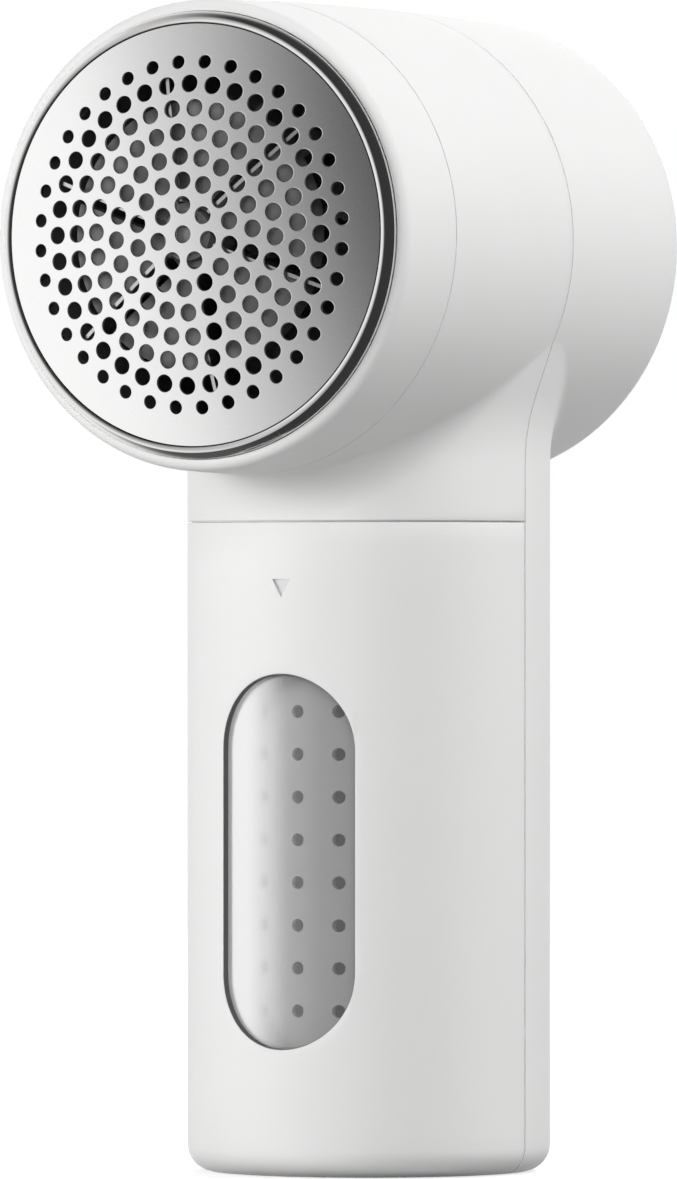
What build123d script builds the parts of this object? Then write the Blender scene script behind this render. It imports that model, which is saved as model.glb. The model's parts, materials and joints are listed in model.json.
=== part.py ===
from build123d import *
import math
import os

os.makedirs("parts", exist_ok=True)

# A handheld fabric shaver: a barrel-shaped head with a domed, perforated cutting foil, on a round handle.
# Millimetres. The origin is the centre of the base of the handle, +Z is up and the foil faces -Y.

# Outer form of the housing
headHeight = 129.7
headRadius = 32.93
headCrown = 0.73
headFront = -48.25
headBack = 36.45
backRounding = 6.5
ringSeam = -34.7
splitY = -1.25
handleRadius = 25.4
baseRounding = 3.75
neckLength = 5.97
neckDrop = 11.5
neckInset = 0.16
neckSlope = math.radians(20)
flareShare = 0.296
frontFillet = 6.0
rearFillet = 4.4

# What follows from them: the height of the bin, and the neck that fits both head and handle
binHeight = headHeight - headRadius - neckLength
neckRadius = math.sqrt(headRadius**2 - neckDrop**2) - neckInset
neckFlare = flareShare * (neckRadius - handleRadius) / (1 - math.cos(neckSlope))

# Walls, seams and clearances
wall = 2.0
seamGap = 0.25
seamDepth = 0.6
slipFit = 0.15
touch = 0.05
deckThickness = 1.6

# Foil and its rim
foilRadius = headRadius - 4.13
foilThickness = 0.3
foilEdgeY = -49.8
foilRise = 3.12
foilSkirt = 2.0
holeRadius = 1.15
outerHoleRadius = 0.875
rimWidth = 0.9
rimGroove = 0.15
rimFront = -49.95
rimBack = -44.5
ringLip = foilRadius + 1.8
ringRounding = 1.6
skirtLength = 4.5
skirtWall = 1.2

# Rings of holes in the foil: radius as a share of the foil's, count, and angle of the first hole
holeRings = ((0.0, 1, 0.0), (0.1389, 7, -11.8), (0.2549, 14, -11.8), (0.3708, 20, 3.5),
             (0.4861, 26, -2.0), (0.6007, 31, 4.7), (0.7153, 36, -0.5))
outerHoleRing = (0.8205, 36, 4.5)

# Cutter and suction fan
bladeCount = 6
bladeAngle = 40.0
bladeThickness = 0.5
bladeInner = 4.6
bladeOuter = foilRadius - 7.0
bladeBack = -46.9
bladeClearance = 0.25
carrierRadius = bladeOuter - 3.3
carrierFront = -49.6
carrierBack = -46.6
carrierSlot = 1.6
hubRadius = 3.6
hubBack = -43.6
insertRadius = 2.2
shaftRadius = 1.0
shaftFront = -50.2
shaftBack = 24.6
bearingClearance = 0.03
fanRadius = foilRadius - 9.8
fanFront = -35.0
fanPlate = -24.0
fanBack = -22.6
vaneCount = 9
vaneThickness = 0.9
fanHubRadius = 4.0

# Cutter cup and chute
cupRadius = foilRadius - 1.4
cupWall = 1.2
cupFront = -45.0
cupBack = -12.2
cupFlangeY = -28.0
chuteHalfWidth = 8.0
chuteFront = -20.5
chuteBack = -12.2
sealWidth = 1.2
sealHeight = 2.0

# Motor
motorRadius = 12.2
motorFront = -9.3
motorBack = 20.0
canWall = 0.8
bossRadius = 3.1
bossLength = 2.6
bushRadius = 2.3
bushLength = 3.4
endCapThickness = 2.6
armatureRadius = 8.2
airGap = 0.5
bracketThickness = 1.5
motorScrewPitch = 16.0

# Lint bin
binWall = 2.4
binFloor = 2.0
binBackY = -3.6
binBackWall = 1.6
windowWidth = 20.8
windowBottom = 17.7
windowHeight = binHeight - windowBottom - 21.1
windowCentre = windowBottom + windowHeight / 2
paneLip = 2.0
paneThickness = 1.6
screenGap = 2.4
screenThickness = 0.8
screenRows = 8
screenColumns = 3
rowPitch = windowHeight / 8.77
columnPitch = 6.0
ventRadius = 0.9
markWidth = 2.85
markHeight = 2.5
markTop = binHeight - 8.0
markDepth = 0.4

# Divider, battery and electronics
chassisFront = -0.9
chassisThickness = 1.8
railX = handleRadius - 11.4
railWidth = 2.0
railDepth = 2.4
channelWall = 1.2
postX = handleRadius - 5.9
postLow = 16.0
postHigh = binHeight - 8.8
postRadius = 2.8
screwRadius = 1.1
screwHeadRadius = 2.1
screwHeadHeight = 1.3
screwLength = 8.0
boardThickness = 1.2
boardY = handleRadius - 9.9
boardBottom = binHeight - 19.0
boardHeight = 24.0
boardWidth = 24.0
cellFrontGap = 2.5
cellBackGap = 1.6
cellBottom = 19.4
cellLength = boardBottom - 2.4 - cellBottom
cradleWall = 1.2
tabThickness = 0.2
buttonZ = binHeight - 6.8
buttonRadius = 5.5
buttonTravel = 0.6
buttonProud = 0.5
buttonFlange = 1.3
switchSize = 6.2
switchHeight = 1.8
plungerRadius = 1.6
lampZ = binHeight - 16.2
lampRadius = 1.0
socketZ = 11.2
socketWidth = 8.94
socketThickness = 3.26
socketLength = 7.35
socketShell = 0.35

headAxis = Axis((0, 0, headHeight), (0, 1, 0))
farAway = 4 * headHeight


# The barrel of the head, drawn in by inset on every side but its open front.
def headForm(inset):
    radius = headRadius - inset
    endRadius = radius - headCrown
    back = headBack - inset
    with BuildSketch(Plane.YZ) as half:
        with BuildLine():
            Polyline(
                (back, headHeight + endRadius),
                (back, headHeight),
                (headFront, headHeight),
                (headFront, headHeight + endRadius),
            )
            ThreePointArc(
                (headFront, headHeight + endRadius),
                ((headFront + back) / 2, headHeight + radius),
                (back, headHeight + endRadius),
            )
        make_face()
        backCorner = half.vertices().group_by(Axis.X)[-1].sort_by(Axis.Y)[-1]
        fillet(backCorner, backRounding - inset)
    revolve(half.sketch, axis=headAxis)


# The handle and the flared neck that runs up inside the head, drawn in by inset.
def handleForm(inset):
    radius = handleRadius - inset
    flareTop = radius + neckFlare * (1 - math.cos(neckSlope))
    flareMiddle = radius + neckFlare * (1 - math.cos(neckSlope / 2))
    shoulder = headHeight - neckDrop
    shoulderRadius = math.sqrt((headRadius - inset) ** 2 - neckDrop**2) - neckInset
    coneBottom = shoulder - (shoulderRadius - flareTop) / math.tan(neckSlope)
    straightTop = coneBottom - neckFlare * math.sin(neckSlope)
    with BuildSketch(Plane.XZ) as half:
        with BuildLine():
            Polyline(
                (radius, straightTop),
                (radius, inset),
                (0, inset),
                (0, headHeight),
                (shoulderRadius, headHeight),
                (shoulderRadius, shoulder),
                (flareTop, coneBottom),
            )
            ThreePointArc(
                (flareTop, coneBottom),
                (flareMiddle, straightTop + neckFlare * math.sin(neckSlope / 2)),
                (radius, straightTop),
            )
        make_face()
        baseCorner = half.vertices().group_by(Axis.Y)[0].sort_by(Axis.X)[-1]
        fillet(baseCorner, baseRounding - inset)
    revolve(half.sketch, axis=Axis.Z)


# A disc or ring about the head axis, from y = front to y = back.
def headRingSolid(outer, inner, front, back, mode=Mode.ADD):
    with BuildSketch(Plane.XZ.offset(-front)) as ring:
        with Locations((0, headHeight)):
            Circle(outer)
            if inner > 0:
                Circle(inner, mode=Mode.SUBTRACT)
    extrude(ring.sketch, amount=front - back, mode=mode)


# A block given by its low and high corners.
def block(low, high, mode=Mode.ADD):
    with Locations(low):
        Box(
            high[0] - low[0],
            high[1] - low[1],
            high[2] - low[2],
            align=(Align.MIN, Align.MIN, Align.MIN),
            mode=mode,
        )


# A round bar along Y centred on x and z, from y = front to y = back.
def barY(x, z, radius, front, back, mode=Mode.ADD):
    with BuildSketch(Plane.XZ.offset(-front)) as bar:
        with Locations((x, z)):
            Circle(radius)
    extrude(bar.sketch, amount=front - back, mode=mode)


# Everything in front of y, as one big block to cut with.
def inFrontOf(y, mode):
    block((-farAway, -farAway, -farAway), (farAway, y, farAway), mode)


def behind(y, mode):
    block((-farAway, y, -farAway), (farAway, farAway, farAway), mode)


def below(z, mode):
    block((-farAway, -farAway, -farAway), (farAway, farAway, z), mode)


# The concave blend where the neck runs into the underside of the head, between two y limits.
def blendNeck(shell, low, high, radius):
    creases = shell.edges().filter_by(GeomType.BSPLINE).filter_by_position(Axis.Y, low, high)
    fillet(creases, radius)


def save(shape, name):
    shape.part.label = name
    export_step(shape.part, "parts/" + name + ".step")


# ---- Housing ----

screwPlaces = [(x, z) for x in (-postX, postX) for z in (postLow, postHigh)]
chassisBack = chassisFront + chassisThickness
innerRadius = handleRadius - wall
deckZ = binHeight + seamGap / 2

with BuildPart() as cavity:
    headForm(wall)
    handleForm(wall)

# A thin lip at the split, set back from the outer face so that the joint shows as a fine line
with BuildPart() as lip:
    headForm(seamDepth)
    handleForm(seamDepth)
    inFrontOf(splitY, Mode.SUBTRACT)
    behind(splitY + seamGap + touch, Mode.SUBTRACT)
    add(cavity.part, mode=Mode.SUBTRACT)

# Rear shell: the back of the head, neck and handle in one moulding, with four screw posts
with BuildPart() as rear_shell:
    headForm(0)
    handleForm(0)
    inFrontOf(splitY + seamGap, Mode.SUBTRACT)
    blendNeck(rear_shell, splitY + 1, farAway, rearFillet)
    add(cavity.part, mode=Mode.SUBTRACT)
    postBack = math.sqrt((handleRadius - wall / 2) ** 2 - (postX + postRadius) ** 2)
    for x, z in screwPlaces:
        barY(x, z, postRadius, chassisBack, postBack)
        barY(x, z, screwRadius + touch, chassisBack, chassisFront + screwLength + wall / 2, Mode.SUBTRACT)
    barY(0, buttonZ, buttonRadius + slipFit, handleRadius - 3 * wall, handleRadius + wall, Mode.SUBTRACT)
    barY(0, lampZ, lampRadius + touch, handleRadius - 3 * wall, handleRadius + wall, Mode.SUBTRACT)
    with BuildSketch(Plane.XZ.offset(-(handleRadius - 3 * wall))):
        with Locations((0, socketZ)):
            RectangleRounded(socketWidth + 2 * slipFit, socketThickness + 2 * slipFit, socketThickness / 2)
    extrude(amount=-4 * wall, mode=Mode.SUBTRACT)
    add(lip.part)
save(rear_shell, "rear_shell")

# Front shell: the middle of the head and the front of the neck, closed below by a deck
with BuildPart() as front_shell:
    headForm(0)
    handleForm(0)
    inFrontOf(ringSeam, Mode.SUBTRACT)
    behind(splitY, Mode.SUBTRACT)
    below(deckZ, Mode.SUBTRACT)
    blendNeck(front_shell, ringSeam + 1, splitY - 1, frontFillet)
    add(cavity.part, mode=Mode.SUBTRACT)
    with BuildSketch(Plane.XY.offset(deckZ)):
        Circle(handleRadius - wall / 2)
        with Locations((0, splitY)):
            Rectangle(farAway, farAway, align=(Align.CENTER, Align.MIN), mode=Mode.SUBTRACT)
    extrude(amount=deckThickness)
    chuteGap = chuteHalfWidth + slipFit
    block((-chuteGap, chuteFront - slipFit, deckZ), (chuteGap, chuteBack + slipFit, deckZ + deckThickness),
          Mode.SUBTRACT)
    ribOuter = headRadius - wall / 2
    headRingSolid(ribOuter, cupRadius + slipFit, cupFlangeY, cupFlangeY + cupWall)
    headRingSolid(ribOuter, cupRadius + slipFit, motorFront - bracketThickness - cupWall,
                  motorFront - bracketThickness)
save(front_shell, "front_shell")

# Head ring: the white front of the head, with a skirt that plugs into the front shell
ringBack = ringSeam - seamGap
skirtOuter = headRadius - headCrown - wall - slipFit
with BuildPart() as head_ring:
    headForm(0)
    behind(ringBack, Mode.SUBTRACT)
    frontEdge = head_ring.edges().group_by(Axis.Y)[0]
    fillet(frontEdge, ringRounding)
    headRingSolid(ringLip, 0, headFront, ringBack, Mode.SUBTRACT)
    headRingSolid(ringLip + wall / 4, skirtOuter - skirtWall, ringBack - skirtWall, ringBack)
    headRingSolid(skirtOuter, skirtOuter - skirtWall, ringBack, ringBack + skirtLength)
save(head_ring, "head_ring")

# ---- Foil ----

domeRadius = (foilRadius**2 + foilRise**2) / (2 * foilRise)
domeY = foilEdgeY - foilRise + domeRadius


# The cap of a dome about the head axis: what lies within radius of a ball centred behind the foil.
def domeCap(ball, radius, back, mode=Mode.ADD):
    front = domeY - ball
    edge = domeY - math.sqrt(ball**2 - radius**2)
    bow = domeY - math.sqrt(ball**2 - radius**2 / 4)
    with BuildSketch(Plane.YZ) as half:
        with BuildLine():
            ThreePointArc((front, headHeight), (bow, headHeight + radius / 2), (edge, headHeight + radius))
            Polyline((edge, headHeight + radius), (back, headHeight + radius), (back, headHeight),
                     (front, headHeight))
        make_face()
    revolve(half.sketch, axis=headAxis, mode=mode)


# Foil: a thin domed cup of steel, drilled with rings of round holes
with BuildPart() as foil:
    domeCap(domeRadius, foilRadius, foilEdgeY + foilSkirt)
    domeCap(domeRadius - foilThickness, foilRadius - foilThickness, foilEdgeY + foilSkirt, Mode.SUBTRACT)
    with BuildSketch(Plane.XZ.offset(-foilEdgeY)):
        with Locations((0, headHeight)):
            for share, count, firstAngle in holeRings:
                with PolarLocations(share * foilRadius, count, start_angle=firstAngle):
                    Circle(holeRadius)
            share, count, firstAngle = outerHoleRing
            with PolarLocations(share * foilRadius, count, start_angle=firstAngle):
                Circle(outerHoleRadius)
    extrude(amount=2 * foilRise, mode=Mode.SUBTRACT)
save(foil, "foil")

# Foil rim: a rolled steel bead with a plain skirt behind it
rimInner = foilRadius + rimGroove
rimMiddle = headHeight + rimInner + rimWidth / 2
with BuildPart() as foil_rim:
    with BuildSketch(Plane.YZ):
        with Locations((rimFront + rimWidth / 2, rimMiddle)):
            Circle(rimWidth / 2)
        with Locations(((rimFront + rimWidth / 2 + rimBack) / 2, rimMiddle)):
            Rectangle(rimBack - rimFront - rimWidth / 2, rimWidth)
    revolve(axis=headAxis)
save(foil_rim, "foil_rim")

# Foil holder: the plastic ring that carries foil and rim inside the head ring
holderInner = cupRadius + 2 * slipFit
with BuildPart() as foil_holder:
    headRingSolid(ringLip - touch, holderInner, rimBack, ringBack - skirtWall)
    headRingSolid(foilRadius - foilThickness - touch, holderInner, foilEdgeY + foilSkirt, rimBack)
save(foil_holder, "foil_holder")

# ---- Cutter ----

cutterBall = domeRadius - foilThickness - bladeClearance
slotWidth = bladeThickness + carrierSlot

with BuildPart() as blade_carrier:
    headRingSolid(carrierRadius, 0, carrierFront, carrierBack)
    domeCap(cutterBall - bladeThickness, hubRadius, hubBack)
    with Locations(Plane(origin=(0, 0, headHeight), x_dir=(1, 0, 0), z_dir=(0, -1, 0))):
        with PolarLocations(0, bladeCount, start_angle=bladeAngle):
            with Locations((bladeInner, -bladeThickness / 2, -carrierBack - touch)):
                Box(carrierRadius, slotWidth, carrierBack - carrierFront + 2 * touch,
                    align=(Align.MIN, Align.MIN, Align.MIN), mode=Mode.SUBTRACT)
    headRingSolid(insertRadius, 0, domeY - domeRadius, hubBack, Mode.SUBTRACT)
save(blade_carrier, "blade_carrier")

# Blades: upright steel strips whose front edges follow the inside of the foil
with BuildPart() as cutter_blades:
    with Locations(Plane(origin=(0, 0, headHeight), x_dir=(1, 0, 0), z_dir=(0, -1, 0))):
        with PolarLocations(0, bladeCount, start_angle=bladeAngle):
            with Locations((bladeInner, -bladeThickness / 2, -bladeBack)):
                Box(bladeOuter - bladeInner, bladeThickness, 2 * foilRise,
                    align=(Align.MIN, Align.MIN, Align.MIN))
    domeCap(cutterBall, foilRadius, bladeBack, Mode.INTERSECT)
save(cutter_blades, "cutter_blades")

with BuildPart() as drive_hub:
    headRingSolid(insertRadius, shaftRadius, shaftFront, hubBack)
save(drive_hub, "drive_hub")

with BuildPart() as motor_shaft:
    headRingSolid(shaftRadius, 0, shaftFront, shaftBack)
save(motor_shaft, "motor_shaft")

# Suction fan: a back plate with curved vanes in front of it
with BuildSketch() as vane:
    with BuildLine():
        ThreePointArc((fanHubRadius - touch, 0), (fanRadius / 2, fanRadius / 6), (fanRadius - touch, 0))
    trace(line_width=vaneThickness)

with BuildPart() as suction_fan:
    headRingSolid(fanRadius + vaneThickness, 0, fanPlate, fanBack)
    headRingSolid(fanHubRadius, 0, fanFront, fanPlate)
    with BuildSketch(Plane.XZ.offset(-fanPlate)):
        with Locations((0, headHeight)):
            with PolarLocations(0, vaneCount):
                add(vane.sketch)
    extrude(amount=fanPlate - fanFront)
    headRingSolid(shaftRadius, 0, fanFront, fanBack, Mode.SUBTRACT)
save(suction_fan, "suction_fan")

# Cutter cup: the chamber round the cutter, with a chute that drops the lint into the bin
chuteTop = headHeight - cupRadius + cupWall
with BuildPart() as cutter_cup:
    headRingSolid(cupRadius, 0, cupFront, cupBack)
    headRingSolid(ringLip - wall, 0, cupFlangeY - cupWall, cupFlangeY)
    block((-chuteHalfWidth, chuteFront, deckZ - seamGap), (chuteHalfWidth, chuteBack, chuteTop + cupWall))
    headRingSolid(cupRadius - cupWall, 0, cupFront, cupBack - cupWall, Mode.SUBTRACT)
    block((-chuteHalfWidth + cupWall, chuteFront + cupWall, deckZ - seamGap),
          (chuteHalfWidth - cupWall, chuteBack - cupWall, chuteTop + cupWall), Mode.SUBTRACT)
    headRingSolid(bossRadius + slipFit, 0, cupBack - cupWall, cupBack, Mode.SUBTRACT)
save(cutter_cup, "cutter_cup")

# Chute seal: a rubber frame round the mouth of the chute, under the deck
with BuildPart() as chute_seal:
    with BuildSketch(Plane.XY.offset(deckZ)):
        with Locations((0, (chuteFront + chuteBack) / 2)):
            sealX = 2 * (chuteHalfWidth + sealWidth)
            sealY = chuteBack - chuteFront + 2 * sealWidth
            RectangleRounded(sealX, sealY, 2 * sealWidth)
            Rectangle(sealX - 2 * sealWidth, sealY - 2 * sealWidth, mode=Mode.SUBTRACT)
    extrude(amount=-sealHeight)
save(chute_seal, "chute_seal")

# ---- Motor ----

bracketRadius = headRadius - wall - 3 * slipFit
screwPitch = motorScrewPitch / 2
with BuildPart() as motor_bracket:
    headRingSolid(bracketRadius, bossRadius + slipFit, motorFront - bracketThickness, motorFront)
    with BuildSketch(Plane.XZ.offset(-motorFront)):
        with Locations((0, headHeight)):
            with PolarLocations((motorRadius + bracketRadius) / 2 + slipFit, 4, start_angle=45):
                SlotOverall(2 * motorRadius, motorRadius / 1.5, rotation=90)
    extrude(amount=bracketThickness, mode=Mode.SUBTRACT)
    for x in (-screwPitch, screwPitch):
        barY(x, headHeight, screwRadius + touch, motorFront - bracketThickness, motorFront, Mode.SUBTRACT)
save(motor_bracket, "motor_bracket")

canInner = motorRadius - canWall
with BuildPart() as motor_can:
    headRingSolid(motorRadius, 0, motorFront, motorBack)
    headRingSolid(bossRadius, 0, motorFront - bossLength, motorFront)
    headRingSolid(canInner, 0, motorFront + canWall, motorBack, Mode.SUBTRACT)
    headRingSolid(bushRadius, 0, motorFront - bossLength, motorFront + canWall, Mode.SUBTRACT)
    for x in (-screwPitch, screwPitch):
        barY(x, headHeight, screwRadius + touch, motorFront, motorFront + canWall, Mode.SUBTRACT)
save(motor_can, "motor_can")

# Two motor screws, heads on the front of the bracket
with BuildPart() as motor_screws:
    headBase = motorFront - bracketThickness
    for x in (-screwPitch, screwPitch):
        barY(x, headHeight, screwHeadRadius, headBase - screwHeadHeight / 2, headBase)
        barY(x, headHeight, screwRadius, headBase, motorFront + 2 * canWall)
save(motor_screws, "motor_screws")

with BuildPart() as motor_end_cap:
    headRingSolid(motorRadius, 0, motorBack, motorBack + endCapThickness)
    headRingSolid(bossRadius + canWall, 0, motorBack + endCapThickness, motorBack + bushLength)
    headRingSolid(bushRadius, 0, motorBack, motorBack + bushLength, Mode.SUBTRACT)
save(motor_end_cap, "motor_end_cap")

boreRadius = shaftRadius + bearingClearance
with BuildPart() as motor_bushes:
    headRingSolid(bushRadius, boreRadius, motorFront - bossLength, motorFront + canWall)
    headRingSolid(bushRadius, boreRadius, motorBack, motorBack + bushLength)
save(motor_bushes, "motor_bushes")

# Two curved magnets inside the can, and the slotted armature that turns between them
magnetInner = armatureRadius + airGap
armatureFront = motorFront + bushLength
armatureBack = motorBack - bushLength
with BuildPart() as motor_magnets:
    headRingSolid(canInner, magnetInner, armatureFront, armatureBack)
    block((-2 * airGap, armatureFront, 0), (2 * airGap, armatureBack, farAway), Mode.SUBTRACT)
save(motor_magnets, "motor_magnets")

with BuildPart() as motor_armature:
    headRingSolid(armatureRadius, shaftRadius, armatureFront, armatureBack)
    with BuildSketch(Plane.XZ.offset(-armatureFront)):
        with Locations((0, headHeight)):
            with PolarLocations(armatureRadius - airGap, 5):
                SlotOverall(armatureRadius, 2 * airGap)
            with PolarLocations(armatureRadius / 2, 5):
                Circle(armatureRadius / 6)
    extrude(amount=armatureFront - armatureBack, mode=Mode.SUBTRACT)
save(motor_armature, "motor_armature")

with BuildPart() as motor_terminals:
    for x in (-screwPitch, screwPitch):
        block((x - canWall, motorBack + endCapThickness, headHeight - canWall / 4),
              (x + canWall, motorBack + endCapThickness + bushLength, headHeight + canWall / 4))
save(motor_terminals, "motor_terminals")

# ---- Lint bin ----

binTop = binHeight - seamGap / 2
binInner = handleRadius - binWall
screenFront = binInner - screenGap

with BuildPart() as lint_bin:
    handleForm(0)
    behind(splitY, Mode.SUBTRACT)
    block((-farAway, -farAway, binTop), (farAway, farAway, farAway), Mode.SUBTRACT)
    with BuildSketch(Plane.XY.offset(binFloor)):
        Circle(binInner)
        with Locations((0, binBackY - binBackWall)):
            Rectangle(farAway, binBackWall, align=(Align.CENTER, Align.MIN), mode=Mode.SUBTRACT)
    extrude(amount=farAway, mode=Mode.SUBTRACT)
    with BuildSketch(Plane.XZ.offset(handleRadius - binInner / 2)):
        with Locations((0, windowCentre)):
            SlotOverall(windowHeight, windowWidth, rotation=90)
    extrude(amount=handleRadius, mode=Mode.SUBTRACT)
    with BuildSketch(Plane.XZ.offset(handleRadius - markDepth)):
        with BuildLine():
            markCorners = [(-markWidth / 2, markTop), (markWidth / 2, markTop), (0, markTop - markHeight)]
            Polyline(markCorners, close=True)
        make_face()
    extrude(amount=handleRadius, mode=Mode.SUBTRACT)
    for side in (-1, 1):
        for gap in (-1, 1):
            middle = side * railX + gap * (railWidth / 2 + slipFit + channelWall / 2)
            block((middle - channelWall / 2, binBackY - touch, binFloor),
                  (middle + channelWall / 2, chassisFront - railDepth / 2, binTop))
save(lint_bin, "lint_bin")


# A curved sheet inside the bin's round front wall: radii, half width and the stadium's height.
def curvedSheet(outer, inner, halfWidth, height):
    with BuildSketch(Plane.XY.offset(windowCentre - height / 2)) as arch:
        Circle(outer)
        Circle(inner, mode=Mode.SUBTRACT)
        with Locations((0, -inner)):
            Rectangle(2 * halfWidth, 2 * inner, mode=Mode.INTERSECT)
    extrude(arch.sketch, amount=height)


paneHalf = windowWidth / 2 + paneLip
paneHeight = windowHeight + 2 * paneLip
with BuildPart() as bin_window:
    curvedSheet(binInner - touch, binInner - paneThickness, paneHalf + paneLip, paneHeight + paneLip)
    with BuildSketch(Plane.XZ):
        with Locations((0, windowCentre)):
            SlotOverall(paneHeight, 2 * paneHalf, rotation=90)
    extrude(amount=handleRadius, mode=Mode.INTERSECT)
save(bin_window, "bin_window")

# Perforated screen behind the pane, with side flanges that reach the bin's wall
with BuildPart() as bin_screen:
    curvedSheet(screenFront, screenFront - screenThickness, paneHalf + screenThickness, paneHeight)
    with BuildSketch(Plane.XZ.offset(binInner / 2)):
        with Locations((0, windowCentre)):
            with GridLocations(columnPitch, rowPitch, screenColumns, screenRows):
                Circle(ventRadius)
    extrude(amount=handleRadius, mode=Mode.SUBTRACT)
    for side in (-1, 1):
        low = min(side * (paneHalf + slipFit), side * (paneHalf + screenThickness))
        edge = math.sqrt((binInner - touch) ** 2 - (paneHalf + screenThickness) ** 2)
        root = math.sqrt(screenFront**2 - (paneHalf + screenThickness) ** 2)
        block((low, -edge, windowCentre - paneHeight / 2),
              (low + screenThickness - slipFit, -root + screenThickness, windowCentre + paneHeight / 2))
save(bin_screen, "bin_screen")

# ---- Divider, battery and electronics ----

# Chassis: the wall between the lint bin and the battery, with the two rails that guide the bin
with BuildPart() as chassis:
    chassisHalf = math.sqrt(innerRadius**2 - chassisBack**2) - slipFit
    block((-chassisHalf, chassisFront, baseRounding), (chassisHalf, chassisBack, binHeight + neckDrop))
    for x in (-railX, railX):
        block((x - railWidth / 2, chassisFront - railDepth, baseRounding),
              (x + railWidth / 2, chassisFront, binHeight - wall))
    for x, z in screwPlaces:
        barY(x, z, screwRadius + touch, chassisFront, chassisBack, Mode.SUBTRACT)
save(chassis, "chassis")

with BuildPart() as case_screws:
    for x, z in screwPlaces:
        barY(x, z, screwHeadRadius, chassisFront - screwHeadHeight, chassisFront)
        barY(x, z, screwRadius, chassisFront, chassisFront + screwLength)
save(case_screws, "case_screws")

cellRadius = (innerRadius - chassisBack - cellFrontGap - cellBackGap) / 2
cellY = chassisBack + cellFrontGap + cellRadius
with BuildPart() as battery_cell:
    with Locations((0, cellY, cellBottom)):
        Cylinder(cellRadius, cellLength, align=(Align.CENTER, Align.CENTER, Align.MIN))
    fillet(battery_cell.edges().filter_by(GeomType.CIRCLE), wall / 4)
save(battery_cell, "battery_cell")

# Cradle: a half sleeve with closed ends that holds the cell against the chassis
cellTop = cellBottom + cellLength
cradleInner = cellRadius + touch
cradleOuter = cradleInner + cradleWall
with BuildPart() as battery_cradle:
    with Locations((0, cellY, cellBottom - 2 * tabThickness - cradleWall)):
        Cylinder(cradleOuter, cellLength + 4 * tabThickness + 2 * cradleWall,
                 align=(Align.CENTER, Align.CENTER, Align.MIN))
    with Locations((0, cellY, cellBottom - 2 * tabThickness)):
        Cylinder(cradleInner, cellLength + 4 * tabThickness, align=(Align.CENTER, Align.CENTER, Align.MIN),
                 mode=Mode.SUBTRACT)
    behind(cellY, Mode.SUBTRACT)
    block((-cradleWall, chassisBack, cellBottom), (cradleWall, cellY - cellRadius - cradleWall / 2, cellTop))
save(battery_cradle, "battery_cradle")

with BuildPart() as battery_tabs:
    for z in (cellBottom - tabThickness, cellTop):
        block((-cellRadius / 3, cellY - cellRadius / 2, z),
              (cellRadius / 3, cellY + cellRadius / 2, z + tabThickness))
save(battery_tabs, "battery_tabs")

boardBack = boardY + boardThickness
with BuildPart() as circuit_board:
    block((-boardWidth / 2, boardY, boardBottom), (boardWidth / 2, boardBack, boardBottom + boardHeight))
    for x in (-boardWidth / 2 + wall, boardWidth / 2 - wall):
        barY(x, boardBottom + boardHeight - wall, screwRadius / 2, boardY, boardBack, Mode.SUBTRACT)
save(circuit_board, "circuit_board")

# Two board posts that stand on the chassis and carry the circuit board
with BuildPart() as board_posts:
    for x in (-boardWidth / 3, boardWidth / 3):
        block((x - wall / 2, chassisBack, boardBottom + wall),
              (x + wall / 2, boardY, boardBottom + boardHeight - wall))
save(board_posts, "board_posts")

with BuildPart() as tact_switch:
    block((-switchSize / 2, boardBack, buttonZ - switchSize / 2),
          (switchSize / 2, boardBack + switchHeight, buttonZ + switchSize / 2))
    barY(0, buttonZ, plungerRadius + slipFit, boardBack + switchHeight / 4, boardBack + switchHeight,
         Mode.SUBTRACT)
save(tact_switch, "tact_switch")

# Power button: a domed cap with a flange behind the wall and a stem that reaches the switch
buttonFront = handleRadius + buttonProud
flangeFront = math.sqrt(innerRadius**2 - (buttonRadius + buttonFlange) ** 2) - touch
plungerBack = boardBack + switchHeight / 4 + buttonTravel + touch
plungerTop = boardBack + switchHeight + buttonTravel + touch
with BuildPart() as power_button:
    barY(0, buttonZ, buttonRadius, flangeFront - wall / 2, buttonFront)
    fillet(power_button.edges().group_by(Axis.Y)[-1], buttonProud)
    barY(0, buttonZ, buttonRadius + buttonFlange, flangeFront - wall / 2, flangeFront)
    barY(0, buttonZ, plungerRadius, plungerTop, flangeFront - wall / 2)
save(power_button, "power_button")

with BuildPart() as switch_plunger:
    barY(0, buttonZ, plungerRadius, plungerBack, plungerTop)
save(switch_plunger, "switch_plunger")

with BuildPart() as status_lamp:
    barY(0, lampZ, lampRadius, boardBack, handleRadius)
save(status_lamp, "status_lamp")

# Charging socket: an open metal shell with a tongue, on a small board of its own
socketBack = handleRadius - wall / 4
with BuildPart() as charge_socket:
    with BuildSketch(Plane.XZ.offset(-socketBack)):
        with Locations((0, socketZ)):
            RectangleRounded(socketWidth, socketThickness, socketThickness / 2 - touch)
    extrude(amount=socketLength)
    with BuildSketch(Plane.XZ.offset(-socketBack)):
        with Locations((0, socketZ)):
            RectangleRounded(socketWidth - 2 * socketShell, socketThickness - 2 * socketShell,
                             socketThickness / 2 - socketShell - touch)
    extrude(amount=socketLength - 2 * socketShell, mode=Mode.SUBTRACT)
    block((-socketWidth / 2.7, socketBack - socketLength + socketShell, socketZ - socketShell),
          (socketWidth / 2.7, socketBack - 4 * socketShell, socketZ + socketShell))
save(charge_socket, "charge_socket")

with BuildPart() as socket_board:
    boardTop = socketZ - socketThickness / 2
    block((-socketWidth, cellY, boardTop - boardThickness),
          (socketWidth, socketBack - socketLength / 2, boardTop))
save(socket_board, "socket_board")
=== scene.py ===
import json
import math

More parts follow.
